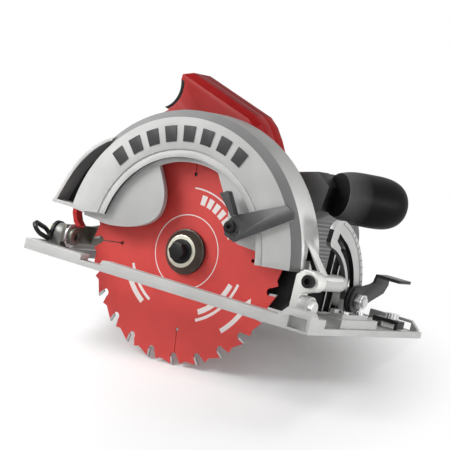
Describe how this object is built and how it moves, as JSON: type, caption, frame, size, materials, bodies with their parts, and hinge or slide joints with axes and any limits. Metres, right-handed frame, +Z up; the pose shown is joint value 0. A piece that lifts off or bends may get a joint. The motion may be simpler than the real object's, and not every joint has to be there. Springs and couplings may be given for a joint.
{
  "type": "circular saw",
  "caption": "Corded sidewinder circular saw: geared blade under a cast guard, retracting lower guard, rear trigger handle, front knob, and a shoe that bevels and sets depth.",
  "frame": {"origin": "on the sole of the shoe, square below the spindle's axis and 80 mm inboard of the blade's middle plane", "axes": "+X forward along the cut, +Y from the blade towards the motor, +Z up from the sole"},
  "size_m": [0.2967, 0.2237, 0.2323],
  "materials": {
    "cast_alloy": "satin cast, lightly blasted",
    "pale_alloy": "bare casting",
    "housing_alloy": "dark cast",
    "plated_steel": "zinc plated",
    "black_steel": "black oxide",
    "red_blade": "satin enamel",
    "carbide": "ground",
    "bronze_flange": "bronzed, edge polished",
    "guard_sheet": "smooth bright",
    "grey_lever": "dark grey enamel",
    "machine_steel": "ground",
    "copper": "turned",
    "carbon": "graphite",
    "red_plastic": "fine texture",
    "black_plastic": "fine texture",
    "black_rubber": "moulded"
  },
  "bodies": {
    "shoe": {"base_plate": "cast_alloy", "front_bevel_pin": "plated_steel", "rear_bevel_bolt": "plated_steel", "rear_bevel_washer": "plated_steel", "rear_lock_nut": "plated_steel", "bevel_quadrant": "cast_alloy", "quadrant_screws": "plated_steel", "fence_clamp": "black_steel"},
    "fence_screw": {"fence_screw": "black_plastic"},
    "rear_lock_lever": {"rear_lock_lever": "black_steel"},
    "tilt_frame": {"front_tilt_bracket": "pale_alloy", "depth_pivot_bolt": "plated_steel", "bevel_lock_bolt": "plated_steel", "bevel_lock_disc": "black_steel", "bevel_lock_nut": "plated_steel", "depth_bracket": "black_steel"},
    "bevel_lock_lever": {"bevel_lock_lever": "black_steel"},
    "saw_body": {"upper_guard": "cast_alloy", "guard_trim": "grey_lever", "dust_nozzle": "black_plastic", "bearing_box": "housing_alloy", "spindle_front_bearing": "machine_steel", "gear_housing": "housing_alloy", "spindle_rear_bearing": "machine_steel", "armature_front_bearing": "machine_steel", "guard_retaining_ring": "machine_steel", "guard_spring": "machine_steel", "armature_rear_bearing": "machine_steel", "stator": "machine_steel", "carbon_brushes": "carbon", "brush_holders": "copper", "brush_caps": "black_plastic", "aux_handle": "black_plastic", "motor_housing": "black_plastic", "motor_end_cap": "black_plastic", "handle_right_shell": "red_plastic", "handle_left_shell": "red_plastic", "handle_grip": "black_rubber", "trigger_pin": "black_steel", "trigger_switch": "black_plastic", "cord_gland": "black_rubber", "housing_screws": "plated_steel", "depth_lock_bolt": "plated_steel"},
    "blade_assembly": {"spindle": "machine_steel", "driven_gear": "machine_steel", "inner_flange": "bronze_flange", "blade": "red_blade", "carbide_tips": "carbide", "outer_flange": "bronze_flange", "blade_bolt": "black_steel"},
    "armature": {"armature": "machine_steel", "pinion": "machine_steel", "cooling_fan": "black_plastic", "commutator": "copper"},
    "lower_guard": {"lower_guard": "guard_sheet", "guard_lever": "grey_lever", "guard_lever_screw": "plated_steel"},
    "trigger": {"trigger": "black_plastic"},
    "spindle_lock_button": {"spindle_lock_button": "black_plastic"},
    "depth_lock_lever": {"depth_lock_lever": "black_steel"}
  },
  "joints": [
    {"name": "bevel", "type": "hinge", "parent": "shoe", "child": "tilt_frame", "pos_m": [0, -0.094, 0.01777], "axis": [1, 0, 0], "range_deg": [0, 50]},
    {"name": "depth", "type": "hinge", "parent": "tilt_frame", "child": "saw_body", "pos_m": [0.128, -0.08, 0.03778], "axis": [0, 1, 0], "range_deg": [0, 27.5]},
    {"name": "blade_spin", "type": "hinge", "parent": "saw_body", "child": "blade_assembly", "pos_m": [0, -0.08, 0.03078], "axis": [0, -1, 0], "continuous": true},
    {"name": "armature_spin", "type": "hinge", "parent": "saw_body", "child": "armature", "pos_m": [0.0159, -0.08, 0.05622], "axis": [0, -1, 0], "continuous": true},
    {"name": "lower_guard_swing", "type": "hinge", "parent": "saw_body", "child": "lower_guard", "pos_m": [0, -0.08, 0.03078], "axis": [0, -1, 0], "range_deg": [0, 148], "stiffness_Nm_per_rad": 0.15, "springref_deg": 171.89},
    {"name": "trigger_pull", "type": "hinge", "parent": "saw_body", "child": "trigger", "pos_m": [-0.06, -0.04, 0.12777], "axis": [0, 1, 0], "range_deg": [0, 8], "stiffness_Nm_per_rad": 0.6, "springref_deg": -5.73},
    {"name": "spindle_lock_press", "type": "slide", "parent": "saw_body", "child": "spindle_lock_button", "axis": [0.9397, 0, 0.342], "range_m": [0, 0.004], "stiffness_N_per_m": 600, "springref_m": -0.001},
    {"name": "depth_lock_turn", "type": "hinge", "parent": "saw_body", "child": "depth_lock_lever", "pos_m": [-0.06, -0.049, 0.03778], "axis": [0, 1, 0], "range_deg": [-25, 0]},
    {"name": "bevel_lock_turn", "type": "hinge", "parent": "tilt_frame", "child": "bevel_lock_lever", "pos_m": [0.139, -0.03729, 0.02727], "axis": [1, 0, 0], "range_deg": [0, 50]},
    {"name": "rear_lock_turn", "type": "hinge", "parent": "shoe", "child": "rear_lock_lever", "pos_m": [-0.114, -0.094, 0.01777], "axis": [1, 0, 0], "range_deg": [-45, 0]},
    {"name": "fence_screw_turn", "type": "hinge", "parent": "shoe", "child": "fence_screw", "pos_m": [0.132, 0.0425, 0.01277], "axis": [0, 0, 1], "continuous": true}
  ],
  "couplings": [
    {"joint": "armature_spin", "follows": "blade_spin", "ratio": -4}
  ]
}
